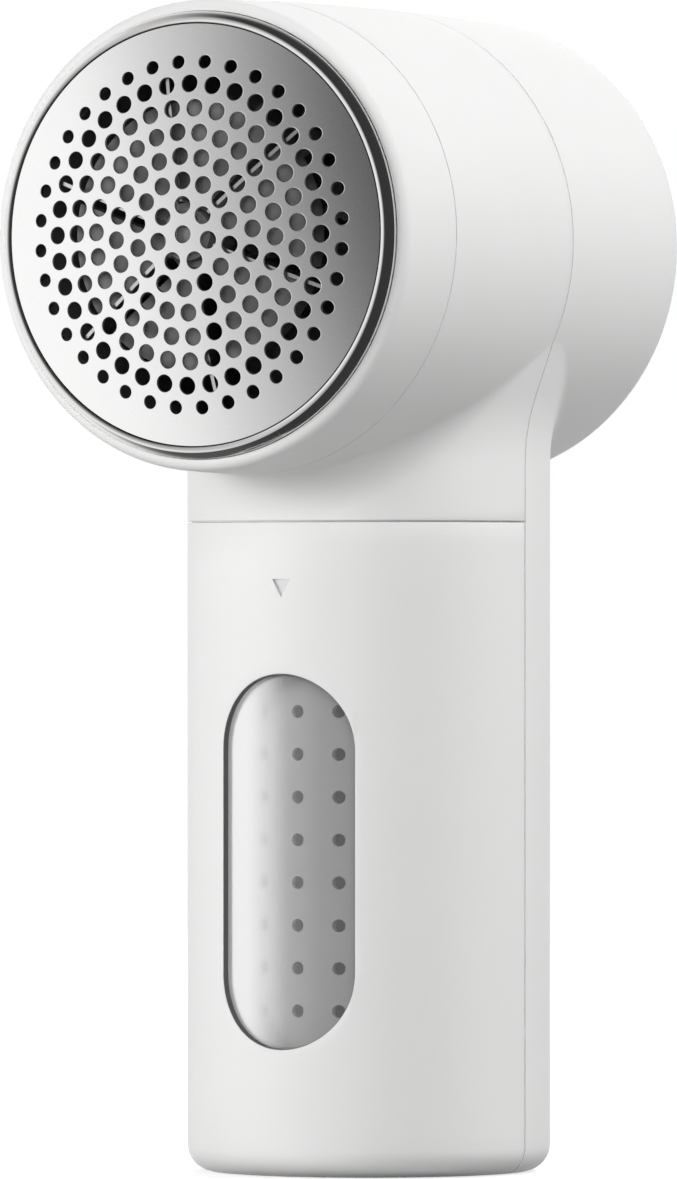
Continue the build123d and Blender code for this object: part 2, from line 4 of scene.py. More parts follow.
import bmesh
import bpy
import numpy as np
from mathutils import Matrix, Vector

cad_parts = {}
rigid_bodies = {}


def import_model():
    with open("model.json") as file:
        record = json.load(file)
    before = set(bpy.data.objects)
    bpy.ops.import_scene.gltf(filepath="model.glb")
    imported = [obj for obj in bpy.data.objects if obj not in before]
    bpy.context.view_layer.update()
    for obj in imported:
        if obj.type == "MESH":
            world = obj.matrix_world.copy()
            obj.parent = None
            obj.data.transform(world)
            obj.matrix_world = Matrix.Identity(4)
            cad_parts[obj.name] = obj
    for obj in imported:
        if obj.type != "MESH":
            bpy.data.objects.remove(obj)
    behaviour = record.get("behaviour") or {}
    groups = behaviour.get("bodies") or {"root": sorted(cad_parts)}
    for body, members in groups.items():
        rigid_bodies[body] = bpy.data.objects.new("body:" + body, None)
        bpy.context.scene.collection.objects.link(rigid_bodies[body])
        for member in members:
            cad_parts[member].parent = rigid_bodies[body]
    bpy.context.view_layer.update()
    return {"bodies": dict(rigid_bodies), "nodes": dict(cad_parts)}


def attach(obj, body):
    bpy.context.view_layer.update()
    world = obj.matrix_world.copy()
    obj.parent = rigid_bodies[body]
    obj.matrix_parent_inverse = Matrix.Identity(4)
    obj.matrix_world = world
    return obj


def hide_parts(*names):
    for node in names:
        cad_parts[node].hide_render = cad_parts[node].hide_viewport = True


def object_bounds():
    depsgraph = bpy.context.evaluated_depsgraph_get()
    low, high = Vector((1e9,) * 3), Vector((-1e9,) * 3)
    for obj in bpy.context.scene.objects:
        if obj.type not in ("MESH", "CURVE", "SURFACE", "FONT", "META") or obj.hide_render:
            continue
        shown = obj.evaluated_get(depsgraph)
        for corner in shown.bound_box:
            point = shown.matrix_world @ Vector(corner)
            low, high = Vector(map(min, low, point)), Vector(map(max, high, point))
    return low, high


# A fabric shaver: a barrel head with a perforated foil, on a round handle with a lint bin.
# Sizes in the dictionaries are millimetres; everything is made in metres.
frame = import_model()
nodes = frame["nodes"]
scene = bpy.context.scene
mm = 0.001
print("frame loaded:", len(nodes), "nodes")


# A small builder for node trees: plain values or sockets in, sockets out
class NodeMaker:
    def __init__(self, tree):
        self.tree = tree

    def feed(self, value, socket):
        if isinstance(value, bpy.types.NodeSocket):
            self.tree.links.new(value, socket)
        else:
            socket.default_value = value

    def feedAll(self, node, values):
        for name, value in values.items():
            self.feed(value, node.inputs[name])
        return node

    def node(self, kind, inputs=None, **settings):
        made = self.tree.nodes.new(kind)
        for name, value in settings.items():
            setattr(made, name, value)
        return self.feedAll(made, inputs or {})

    def math(self, operation, *values, clamp=False):
        inputs = dict(enumerate(values))
        return self.node("ShaderNodeMath", inputs, operation=operation, use_clamp=clamp).outputs[0]

    def split(self, vector):
        return self.node("ShaderNodeSeparateXYZ", {0: vector}).outputs

    def ramp(self, value, start, end, first, last, kind="SMOOTHSTEP"):
        inputs = {"Value": value, "From Min": start, "From Max": end, "To Min": first, "To Max": last}
        return self.node("ShaderNodeMapRange", inputs, interpolation_type=kind).outputs[0]

    def mixShaders(self, factor, first, second):
        return self.node("ShaderNodeMixShader", {0: factor, 1: first, 2: second}).outputs[0]

    def glow(self, kind, strength):
        return self.node(kind, {"Color": (1, 1, 1, 1), "Strength": strength}).outputs[0]


# Materials

def startMaterial(name):
    material = bpy.data.materials.new(name)
    material.use_nodes = True
    maker = NodeMaker(material.node_tree)
    place = maker.node("ShaderNodeTexCoord").outputs["Object"]
    return material, maker, maker.tree.nodes["Principled BSDF"], place


def addNoise(maker, place, scale, detail=3.0, stretch=None):
    if stretch:
        place = maker.node("ShaderNodeMapping", {"Vector": place, "Scale": stretch}).outputs[0]
    inputs = {"Vector": place, "Scale": scale, "Detail": detail}
    return maker.node("ShaderNodeTexNoise", inputs).outputs["Fac"]


# Spreads the middle of a noise, where nearly all of its values lie, over a range
def spreadNoise(maker, value, low, high):
    return maker.ramp(value, 0.3, 0.7, low, high, "LINEAR")


# Colour that drifts broadly, with gloss and relief that follow a finer noise
def addFinish(parts, colour, drift, broadScale, fine, gloss, relief, **values):
    material, maker, shader, place = parts
    broad = spreadNoise(maker, addNoise(maker, place, broadScale), 0, 1)
    darker = [c * (1 - drift) for c in colour]
    tint = maker.node("ShaderNodeMix", {0: broad, 6: (*darker, 1), 7: (*colour, 1)}, data_type="RGBA")
    bump = maker.node("ShaderNodeBump", {"Height": fine, "Strength": 1.0, "Distance": relief * mm})
    maker.feedAll(shader, {"Base Color": tint.outputs[2], "Normal": bump.outputs[0],
                           "Roughness": spreadNoise(maker, fine, *gloss), **values})
    return material


# Moulded plastic: a fine spark-eroded grain, with colour and gloss that drift a little
def mouldedPlastic(name, colour, drift=0.02, roughness=0.45, grain=0.004, grainSize=0.35):
    parts = startMaterial(name)
    fine = addNoise(parts[1], parts[3], 1 / (grainSize * mm), 2)
    gloss = (roughness - 0.04, roughness + 0.04)
    return addFinish(parts, colour, drift, 60, fine, gloss, grain, IOR=1.47)


# Metal: bright or brushed, with fine scratches along one direction
def metal(name, colour, roughness, anisotropy=0.0, scratch=0.0015, stretch=(1, 1, 1),
          drift=0.06, vary=0.15):
    parts = startMaterial(name)
    fine = addNoise(parts[1], parts[3], 900, 4, stretch)
    gloss = (roughness * (1 - vary), roughness * (1 + vary))
    return addFinish(parts, colour, drift, 90, fine, gloss, scratch, Metallic=1, Anisotropic=anisotropy)


# A clear pane with a thin bright coat and a painted reflection: a white diffuse layer, fixed to the pane,
# covers its left side and fades out towards the right.
# Only its front shows a finish: light passes straight through to what is behind.
def clearPlastic(name, coat=0.12, roughness=0.1, paintedReflection=(0.95, 0.12), paintedReflectionEnds=(-7.0, 1.3)):
    material, maker, shader, place = startMaterial(name)
    smear = spreadNoise(maker, addNoise(maker, place, 180), roughness * 0.8, roughness * 1.2)
    maker.feedAll(shader, {"Base Color": (0.93, 0.935, 0.94, 1), "Metallic": 1, "Roughness": smear})
    clear = maker.node("ShaderNodeBsdfTransparent").outputs[0]
    # White of the painted reflection on the pane's left side
    reflectionWhite = maker.node("ShaderNodeBsdfDiffuse", {"Color": (0.84, 0.84, 0.84, 1)}).outputs[0]
    inFront = maker.math("SUBTRACT", 1.0, maker.node("ShaderNodeNewGeometry").outputs["Backfacing"])
    seen = maker.node("ShaderNodeLightPath").outputs["Is Camera Ray"]
    inView = maker.math("MULTIPLY", seen, inFront)
    coated = maker.mixShaders(maker.math("MULTIPLY", inView, coat), clear, shader.outputs[0])
    # Painted reflection: the white layer's share falls from the left of the pane to the right, by its X
    start, end = (x * mm for x in paintedReflectionEnds)
    fade = maker.ramp(maker.split(place)["X"], start, end, *paintedReflection)
    withReflection = maker.mixShaders(maker.math("MULTIPLY", fade, inView), coated, reflectionWhite)
    maker.feed(withReflection, maker.tree.nodes["Material Output"].inputs["Surface"])
    return material


whitePlastic = mouldedPlastic("whitePlastic", (0.80, 0.80, 0.795), 0.015, 0.42)
# Darker grey of the mark's floor: painted shade in the triangle recess
markShadePlastic = mouldedPlastic("markShadePlastic", (0.67, 0.67, 0.668), 0.015, 0.45)
# Dark grey of the window's sleeve: painted shade on the walls of the opening
revealShadePlastic = mouldedPlastic("revealShadePlastic", (0.22, 0.22, 0.222), 0.04, 0.5)
greyPlastic = mouldedPlastic("greyPlastic", (0.17, 0.17, 0.172), 0.06, 0.5)
screenPlastic = mouldedPlastic("screenPlastic", (0.29, 0.29, 0.293), 0.03, 0.5)
foilSteel = metal("foilSteel", (0.97, 0.968, 0.965), 0.28, 0.0, 0.0, (1, 4, 4), 0.01, 0.03)
polishedSteel = metal("polishedSteel", (0.80, 0.79, 0.785), 0.14, 0.0, 0.0006)
clearPane = clearPlastic("clearPane")
finishes = {
    "white_plastic": whitePlastic,
    "grey_plastic": greyPlastic,
    "brushed_steel": metal("brushedSteel", (0.74, 0.735, 0.73), 0.32, 0.3, 0.002, (1, 1, 0.06)),
    "polished_steel": polishedSteel,
    "plain_steel": metal("plainSteel", (0.55, 0.55, 0.56), 0.35),
    "brass": metal("brass", (0.74, 0.58, 0.30), 0.3),
    "clear_plastic": clearPane,
    "rubber": mouldedPlastic("sealRubber", (0.035, 0.035, 0.037), 0.1, 0.75, 0.01, 0.2),
    "board": mouldedPlastic("boardGreen", (0.03, 0.16, 0.06), 0.25, 0.4, 0.01, 0.6),
    "black_plastic": mouldedPlastic("blackPlastic", (0.02, 0.02, 0.021), 0.1, 0.4),
    "cell_wrap": mouldedPlastic("cellWrap", (0.10, 0.28, 0.42), 0.08, 0.3, 0.002, 0.5),
}
for node in nodes.values():
    for holder in node.material_slots:
        holder.material = finishes.get(holder.material.name, whitePlastic)
nodes["bin_screen"].material_slots[0].material = screenPlastic
print("materials made")


# Mesh helpers

# Joins points that lie on each other, and drops faces that collapse
def weld(points, faces, extra):
    keys, place, kept = {}, [], []
    for index, point in enumerate(points):
        key = tuple(np.round(point, 3))
        if key not in keys:
            keys[key] = len(kept)
            kept.append(index)
        place.append(keys[key])
    joined = []
    for face in faces:
        corners = list(dict.fromkeys(place[corner] for corner in face))
        if len(corners) > 2:
            joined.append(corners)
    return points[kept], joined, extra[kept]


def turnOver(faces):
    return [face[::-1] for face in faces]


# Turns a whole patch over if it looks against the outward directions of its points
def facePatch(points, faces, outward):
    lean = 0.0
    for face in faces:
        across = np.cross(points[face[2]] - points[face[0]], points[face[-1]] - points[face[1]])
        lean += across @ outward[face].sum(axis=0)
    return faces if lean > 0 else turnOver(faces)


# The edges that only one face has, in that face's direction
def openEdges(faces):
    edges = {(a, b) for face in faces for a, b in zip(face, face[1:] + face[:1])}
    return [(a, b) for a, b in edges if (b, a) not in edges]


# A closed wall: the outer skin, the same skin moved inward, and a rim round every open edge
def closedWall(outer, inner, faces):
    count = len(outer)
    whole = list(faces) + [[i + count for i in face[::-1]] for face in faces]
    whole += [[b, a, a + count, b + count] for a, b in openEdges(faces)]
    return np.vstack([outer, inner]), whole


# Quads between rows of points; wrap joins a row's ends, closed joins the last row to the first
def gridFaces(rows, columns, start=0, wrap=False, closed=False):
    faces = []
    for r in range(rows if closed else rows - 1):
        near, far = start + r * columns, start + (r + 1) % rows * columns
        for c in range(columns if wrap else columns - 1):
            n = (c + 1) % columns
            faces.append([near + c, near + n, far + n, far + c])
    return faces


# Applies the modifiers and leaves a smooth, plain mesh with sharp edges marked
def finishPiece(piece, material, sharpAngle=35):
    graph = bpy.context.evaluated_depsgraph_get()
    mesh = bpy.data.meshes.new_from_object(piece.evaluated_get(graph))
    piece.modifiers.clear()
    piece.data = mesh
    mesh.materials.clear()
    mesh.materials.append(material)
    mesh.shade_smooth()
    mesh.set_sharp_from_angle(angle=math.radians(sharpAngle))


def softenEdges(piece, width):
    soften = piece.modifiers.new("edges", "BEVEL")
    soften.width = width * mm
    soften.segments = 2
    soften.limit_method = "ANGLE"
    soften.angle_limit = math.radians(50)
    finishPiece(piece, piece.data.materials[0])


def addObject(name, data):
    made = bpy.data.objects.new(name, data)
    scene.collection.objects.link(made)
    return made


def addMesh(name, points, faces):
    mesh = bpy.data.meshes.new(name)
    mesh.from_pydata([tuple(p) for p in np.asarray(points) * mm], [], faces)
    return addObject(name, mesh)


def makePiece(name, points, faces, material, sharpAngle=35, bevel=0.0):
    piece = addMesh(name, points, faces)
    piece.data.materials.append(material)
    if bevel:
        softenEdges(piece, bevel)
    finishPiece(piece, material, sharpAngle)
    return piece


# Turns a mesh's faces outward, and counts the edges that aren't shared by two of them
def faceOutward(mesh):
    work = bmesh.new()
    work.from_mesh(mesh)
    bmesh.ops.recalc_face_normals(work, faces=work.faces)
    unshared = sum(1 for edge in work.edges if len(edge.link_faces) != 2)
    work.to_mesh(mesh)
    work.free()
    return unshared


# Cuts a closed shape out of a piece
def cutWith(piece, points, faces):
    tool = addMesh("cutter", points, faces)
    faceOutward(tool.data)
    cut = piece.modifiers.new("cut", "BOOLEAN")
    cut.operation = "DIFFERENCE"
    cut.solver = "EXACT"
    cut.object = tool
    finishPiece(piece, piece.data.materials[0])
    bpy.data.objects.remove(tool)


def dress(piece, body, slotName, *stoodFor):
    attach(piece, body)
    if stoodFor:
        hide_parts(*stoodFor)
    print("made", piece.name, len(piece.data.polygons), "faces")


boxFaces = [[0, 2, 3, 1], [4, 5, 7, 6], [0, 1, 5, 4], [2, 6, 7, 3], [0, 4, 6, 2], [1, 3, 7, 5]]


def boxParts(low, high):
    corners = [(x, y, z) for z in (low[2], high[2]) for y in (low[1], high[1]) for x in (low[0], high[0])]
    return np.array(corners, float), boxFaces


def joinParts(*parts):
    points, faces, start = [], [], 0
    for some, theirs in parts:
        points.append(some)
        faces += [[i + start for i in face] for face in theirs]
        start += len(some)
    return np.vstack(points), faces


# The outer form that the shells, ring and bin share

form = {
    "axisZ": 129.7, "headRadius": 32.93, "crown": 0.73, "front": -48.25, "back": 36.45,
    "backRounding": 6.5, "ringSeam": -34.7, "splitY": -1.25, "gap": 0.25, "wall": 2.0,
    "handleRadius": 25.4, "baseRounding": 3.75, "neckDrop": 11.5, "neckTop": 30.696,
    "neckSlope": math.radians(20), "flare": 25.99, "frontFillet": 6.0, "rearFillet": 4.4,
    "binTop": 90.675, "shellBottom": 90.925, "edge": 0.1,
}
halfLength = (form["back"] - form["front"]) / 2
middleY = (form["back"] + form["front"]) / 2
crownRadius = (halfLength ** 2 + form["crown"] ** 2) / (2 * form["crown"])
crownDrop = crownRadius - form["headRadius"]  # how far the crown's centre lies beyond the axis
flareTop = form["handleRadius"] + form["flare"] * (1 - math.cos(form["neckSlope"]))
neckRise = (form["neckTop"] - flareTop) / math.tan(form["neckSlope"])
coneBottom = form["axisZ"] - form["neckDrop"] - neckRise
straightTop = coneBottom - form["flare"] * math.sin(form["neckSlope"])


def barrelRadius(y):
    return math.sqrt(crownRadius ** 2 - (y - middleY) ** 2) - crownDrop


# A ball that rounds an end of the barrel: its centre's distance from the axis, and its lean there
def endBall(y, ball):
    reach = crownRadius - ball
    radius = math.sqrt(reach ** 2 - (y - middleY) ** 2) - crownDrop
    return radius, math.asin(abs(y - middleY) / reach)


# Points about the axis of the head; a turn of 0 is straight down
def aboutHead(radius, y, turn):
    spots = (radius * np.sin(turn), y, form["axisZ"] - radius * np.cos(turn))
    return np.stack(np.broadcast_arrays(*spots), axis=-1)


# Points about the axis of the handle; side is -1 for the front half and +1 for the rear
def aboutHandle(radius, turn, z, side):
    return np.stack(np.broadcast_arrays(radius * np.cos(turn), side * radius * np.sin(turn), z), axis=-1)


# A ring of (radius, y) points turned about the axis of the head; its faces look inward
def turnAboutHead(profile, segments=288):
    radii, depths = np.array(profile).T
    turns = np.linspace(0, 2 * math.pi, segments, endpoint=False)
    points = aboutHead(radii, depths, turns[:, None]).reshape(-1, 3)
    faces = gridFaces(segments, len(profile), wrap=True, closed=True)
    area = radii @ np.roll(depths, -1) - np.roll(radii, -1) @ depths
    return points, turnOver(faces) if area > 0 else faces


# Radius and outward direction (radial, up) of the neck and handle at a height
def neckAt(z):
    if z <= straightTop:
        return form["handleRadius"], 1.0, 0.0
    if z >= coneBottom:
        slope = form["neckSlope"]
        return flareTop + (z - coneBottom) * math.tan(slope), math.cos(slope), -math.sin(slope)
    turn = math.asin((z - straightTop) / form["flare"])
    return form["handleRadius"] + form["flare"] * (1 - math.cos(turn)), math.cos(turn), -math.sin(turn)


# Where a ball that rolls in the crease between neck and barrel sits, at a plan angle
def rollBall(angle, side, ball, halvings=44):
    low, high = form["shellBottom"], form["axisZ"] - form["neckDrop"]
    for _ in range(halvings):
        z = (low + high) / 2
        radius, out, up = neckAt(z)
        centre = aboutHandle(radius + ball * out, angle, z + ball * up, side)
        fromAxis = math.hypot(centre[0], centre[2] - form["axisZ"])
        if math.hypot(centre[1] - middleY, fromAxis + crownDrop) > crownRadius + ball:
            low = z
        else:
            high = z
    onNeck = aboutHandle(radius, angle, z, side)
    stretch = 1 + crownDrop / fromAxis
    toBarrel = np.array([-centre[0] * stretch, middleY - centre[1], (form["axisZ"] - centre[2]) * stretch])
    return centre, onNeck, centre + toBarrel / np.linalg.norm(toBarrel) * ball


# The point on the ball, a share of the way from its touch on the barrel to that on the neck
def onBall(centre, onNeck, onBarrel, ball, share):
    a, b = onBarrel - centre, onNeck - centre
    opening = math.acos(max(-1, min(1, a @ b / ball ** 2)))
    if opening < 1e-6:
        return onBarrel
    return centre + (a * math.sin((1 - share) * opening) + b * math.sin(share * opening)) / math.sin(opening)


# The blend's end columns slide into the seam's plane over a few steps, and the barrel's columns
# fan out from the blend to even spaces, mostly near the seam
skinSizes = {"blendHeight": 115.3, "seamSteps": 10, "overhang": 0.06, "fan": 8, "discs": (0.85, 0.5, 0.2, 0),
             "baseRows": 10, "baseDiscs": (0.6, 0.25, 0)}


# One half of the housing as a skin: barrel, rolled blend, neck, and for the rear the handle and base.
# side is -1 for the front shell and +1 for the rear shell.
def halfHousing(side, cut, ball, density):
    across, arcRows, over = density["across"], density["arcRows"], density["over"]
    level = side * cut
    points, outward, faces = [], [], []

    def addPatch(rows, rowsOut, wrap=False):
        spots, out = np.array(rows).reshape(-1, 3), np.array(rowsOut).reshape(-1, 3)
        start = sum(len(p) for p in points)
        patch = facePatch(spots, gridFaces(len(rows), len(rows[0]), 0, wrap), out)
        faces.extend([[i + start for i in face] for face in patch])
        points.append(spots)
        outward.append(out)

    # Blend: the part of the rolling ball's surface between its two touches
    begin = math.asin(level / (neckAt(skinSizes["blendHeight"])[0] + ball * 0.5))
    rolled = [rollBall(angle, side, ball) for angle in np.linspace(begin, math.pi - begin, across + 1)]
    centres = np.array([touch[0] for touch in rolled])
    blend = []
    for k in range(arcRows + 1):
        row = np.array([onBall(*touch, ball, k / arcRows) for touch in rolled])
        for end, order in ((0, 1), (-1, -1)):
            slide = level - side * row[end][1]
            for step in range(skinSizes["seamSteps"]):
                row[end + order * step][1] += side * slide * (1 - step / skinSizes["seamSteps"]) ** 2
        blend.append(row)
    addPatch(blend, [(centres - row) / ball for row in blend])

    # Barrel: columns that start on the blend, then evenly spaced ones over the top
    start = blend[0]
    first = np.arctan2(start[:, 0], form["axisZ"] - start[:, 2])
    reach = first.max() + skinSizes["overhang"]
    starts = np.concatenate([side * start[:, 1], np.full(over - 1, level)])
    goals = np.concatenate([np.linspace(reach, -reach, across + 1),
                            np.linspace(-reach, reach - 2 * math.pi, over + 1)[1:-1]])
    first = np.concatenate([first, np.linspace(first[-1], first[0] - 2 * math.pi, over + 1)[1:-1]])
    rows, rowsOut = [], []

    def addBarrelRow(radius, y, out, lean):
        rows.append(aboutHead(radius, y, turns))
        rowsOut.append(aboutHead(out, lean, turns) - (0, 0, form["axisZ"]))

    ends = -form["ringSeam"]
    if side > 0:
        rounding = form["backRounding"]
        roundR, tilt = endBall(form["back"] - rounding, rounding)
        ends = form["back"] - rounding + rounding * math.sin(tilt)
    for t in np.linspace(0, 1, density["along"]):
        turns = first + (goals - first) * (1 - (1 - t) ** skinSizes["fan"])
        ys = side * (starts + (ends - starts) * t)
        addBarrelRow(np.array([barrelRadius(y) for y in ys]), ys, 1, (ys - middleY) / crownRadius)
    if side > 0:
        for t in np.linspace(tilt, math.pi / 2, density["rounding"])[1:]:
            y = form["back"] - rounding + rounding * math.sin(t)
            addBarrelRow(roundR + rounding * math.cos(t), y, math.cos(t), math.sin(t))
        for share in skinSizes["discs"]:
            addBarrelRow(roundR * share, form["back"], 0, 1)
    rows[0][:across + 1] = start
    addPatch(rows, rowsOut, wrap=True)

    # Neck and handle, from the blend down
    last = blend[-1]
    out, up = np.array([neckAt(z)[1:] for z in last[:, 2]]).T
    flat = last[:, :2] / np.hypot(last[:, 0], last[:, 1])[:, None]
    rows, rowsOut = [last], [np.column_stack([flat * out[:, None], up])]
    shares = np.linspace(0, 1, across + 1)

    def addRound(z, radius, out, up):
        begin = np.arcsin(level / radius)
        turn = begin + (math.pi - 2 * begin) * shares
        rows.append(aboutHandle(radius, turn, z, side))
        rowsOut.append(aboutHandle(out, turn, up, side))

    handleTop = form["binTop"] - 1
    neckEnd = form["shellBottom"] if side < 0 else handleTop
    for t in np.linspace(0, 1, density["neck"])[1:]:
        heights = last[:, 2] + (neckEnd - last[:, 2]) * t
        addRound(heights, *np.array([neckAt(z) for z in heights]).T)
    if side > 0:
        edge = form["baseRounding"]
        for z in np.linspace(handleTop, edge, density["handle"])[1:]:
            addRound(z, form["handleRadius"], 1.0, 0.0)
        for t in np.linspace(0, math.pi / 2, skinSizes["baseRows"])[1:]:
            radius = form["handleRadius"] - edge + edge * math.cos(t)
            addRound(edge - edge * math.sin(t), radius, math.cos(t), -math.sin(t))
        rim, pole = rows[-1].copy(), np.array([0, cut, 0])
        for share in skinSizes["baseDiscs"]:
            rows.append(pole + (rim - pole) * share)
            rowsOut.append(np.tile([0, 0, -1.0], (across + 1, 1)))
    addPatch(rows, rowsOut)
    return weld(np.vstack(points), faces, np.vstack(outward))


# Moves a skin inward by a thickness, keeping its open edges in the planes of the seams
def moveInward(points, outward, thickness, planes):
    flat = outward.copy()
    for axis, level in planes:
        flat[np.abs(points[:, axis] - level) < 0.002, axis] = 0
    flat /= np.linalg.norm(flat, axis=1)[:, None]
    return points - flat * thickness


# Front shell: the middle of the head and the top of the neck

shellSizes = {"deck": 1.6, "deckRadius": 24.4, "deckStrips": 28, "chuteHalf": 8.15, "chute": (-20.65, -12.05),
              "ribOuter": 31.9, "ribInner": 27.55, "ribs": ((-28.0, -26.8), (-12.0, -10.8)),
              "density": {"across": 110, "arcRows": 10, "over": 210, "along": 18, "neck": 14}}


# The deck under the chute, drawn as strips across the neck so that the chute's mouth stays open
def makeDeck(sizes):
    low, high, half = form["shellBottom"], form["shellBottom"] + sizes["deck"], sizes["chuteHalf"]
    front, back = sizes["chute"]
    evenly = np.linspace(form["splitY"], -sizes["deckRadius"], sizes["deckStrips"])
    lines = sorted(set(evenly) | {front, back})
    parts = []
    for y0, y1 in zip(lines, lines[1:]):
        wide = [math.sqrt(max(sizes["deckRadius"] ** 2 - y ** 2, 0)) for y in (y0, y1)]
        spans = [[(-w, w) for w in wide]]
        if front < (y0 + y1) / 2 < back:
            spans = [[(-w, -half) for w in wide], [(half, w) for w in wide]]
        for near, far in spans:
            corners = [(near[0], y0, low), (near[1], y0, low), (far[0], y1, low), (far[1], y1, low)]
            corners += [(x, y, high) for x, y, z in corners]
            parts.append((np.array(corners), boxFaces))
    return joinParts(*parts)


def makeFrontShell(sizes):
    cut = form["splitY"]
    points, faces, outward = halfHousing(-1, cut, form["frontFillet"], sizes["density"])
    planes = [(1, cut), (1, form["ringSeam"]), (2, form["shellBottom"])]
    parts = [closedWall(points, moveInward(points, outward, form["wall"], planes), faces), makeDeck(sizes)]
    for front, back in sizes["ribs"]:
        rib = [(sizes["ribInner"], front), (sizes["ribOuter"], front),
               (sizes["ribOuter"], back), (sizes["ribInner"], back)]
        parts.append(turnAboutHead(rib, 128))
    return joinParts(*parts)


frontShell = makePiece("frontShell", *makeFrontShell(shellSizes), whitePlastic, bevel=form["edge"])
dress(frontShell, "housing", "white_plastic", "front_shell")


# A thin lip under the front shell, so that the seam above the bin is a shallow groove
lipSizes = {"outer": 24.8, "inner": 23.5, "low": 90.72, "high": 91.2, "columns": 120}


def makeShellLip(sizes):
    count, rings = sizes["columns"], []
    for radius, z in ((sizes["outer"], sizes["low"]), (sizes["outer"], sizes["high"]),
                      (sizes["inner"], sizes["high"]), (sizes["inner"], sizes["low"])):
        begin = math.asin(-form["splitY"] / radius)
        rings.append(aboutHandle(radius, np.linspace(begin, math.pi - begin, count), z, -1))
    starts = [0, count, 2 * count, 3 * count]
    ends = [s + count - 1 for s in starts]
    return np.vstack(rings), gridFaces(4, count, closed=True) + [starts, ends[::-1]]


shellLip = makePiece("shellLip", *makeShellLip(lipSizes), whitePlastic)
dress(shellLip, "housing", "white_plastic")


# Rear shell: the back of the head, neck and handle

rearSizes = {"buttonZ": 83.99, "buttonHole": 5.65, "lampZ": 74.6, "lampHole": 1.05, "socketZ": 11.2,
             "socketWidth": 9.24, "socketHeight": 3.56, "lipDepth": 0.6, "lipBehind": 0.2,
             "density": {"across": 110, "arcRows": 10, "over": 210, "along": 16, "rounding": 12,
                         "neck": 12, "handle": 14}}


# The thin lip in the split: a band that follows the open edge of the shell a little way in
def makeLip(points, outward, faces, depths, levels):
    following = dict(openEdges(faces))
    loop = [next(iter(following))]
    while following[loop[-1]] != loop[0]:
        loop.append(following[loop[-1]])
    flat = outward[loop].copy()
    flat[:, 1] = 0
    flat /= np.linalg.norm(flat, axis=1)[:, None]
    rings = []
    for depth, y in ((depths[0], levels[0]), (depths[0], levels[1]), (depths[1], levels[1]),
                     (depths[1], levels[0])):
        ring = points[loop] - flat * depth
        ring[:, 1] = y
        rings.append(ring)
    return np.vstack(rings), turnOver(gridFaces(4, len(loop), wrap=True, closed=True))


# A bar along Y with rounded ends, used to cut a hole in the back of the handle
def makeBar(width, height, z, segments=40, front=20, back=28):
    radius = height / 2
    turns = 2 * math.pi * (np.arange(segments) + 0.5) / segments
    x = np.copysign(width / 2 - radius, np.cos(turns)) + radius * np.cos(turns)
    outline = z + radius * np.sin(turns)
    points = np.vstack([np.column_stack([x, np.full(segments, y), outline]) for y in (front, back)])
    ends = list(range(segments))
    return points, gridFaces(2, segments, wrap=True) + [ends[::-1], [k + segments for k in ends]]


def makeRearShell(sizes):
    cut = form["splitY"] + form["gap"]
    points, faces, outward = halfHousing(1, cut, form["rearFillet"], sizes["density"])
    inner = moveInward(points, outward, form["wall"], [(1, cut)])
    lip = makeLip(points, outward, faces, (sizes["lipDepth"], form["wall"] - 0.1),
                  (form["splitY"], cut + sizes["lipBehind"]))
    return closedWall(points, inner, faces), lip


rearWall, rearLip = makeRearShell(rearSizes)
rearShell = makePiece("rearShell", *rearWall, whitePlastic)
buttonHole, lampHole = 2 * rearSizes["buttonHole"], 2 * rearSizes["lampHole"]
cutWith(rearShell, *makeBar(buttonHole, buttonHole, rearSizes["buttonZ"], 96))
cutWith(rearShell, *makeBar(lampHole, lampHole, rearSizes["lampZ"]))
cutWith(rearShell, *makeBar(rearSizes["socketWidth"], rearSizes["socketHeight"], rearSizes["socketZ"], 64))
splitLip = makePiece("splitLip", *rearLip, whitePlastic)
dress(rearShell, "housing", "white_plastic", "rear_shell")
dress(splitLip, "housing", "white_plastic")


# Lint bin: the front of the handle, with its window opening

binSizes = {"wall": 2.4, "floor": 2.0, "windowWidth": 20.8, "windowHeight": 52.0, "windowCentre": 43.7,
            "sideColumns": 30, "windowColumns": 36, "windowRows": 16, "backY": -3.6, "backWall": 1.6,
            "markWidth": 2.85, "markHeight": 2.5, "markTop": 82.8, "markDepth": 0.9,
            "inlayDepths": (0.45, 0.1, 0.28), "railX": 14.0, "railWidth": 2.3, "ribWidth": 1.2,
            "ribBack": -2.1, "edge": 0.15}


# Half the window's width, and half the length of its straight sides
def windowHalves(sizes):
    return sizes["windowWidth"] / 2, (sizes["windowHeight"] - sizes["windowWidth"]) / 2


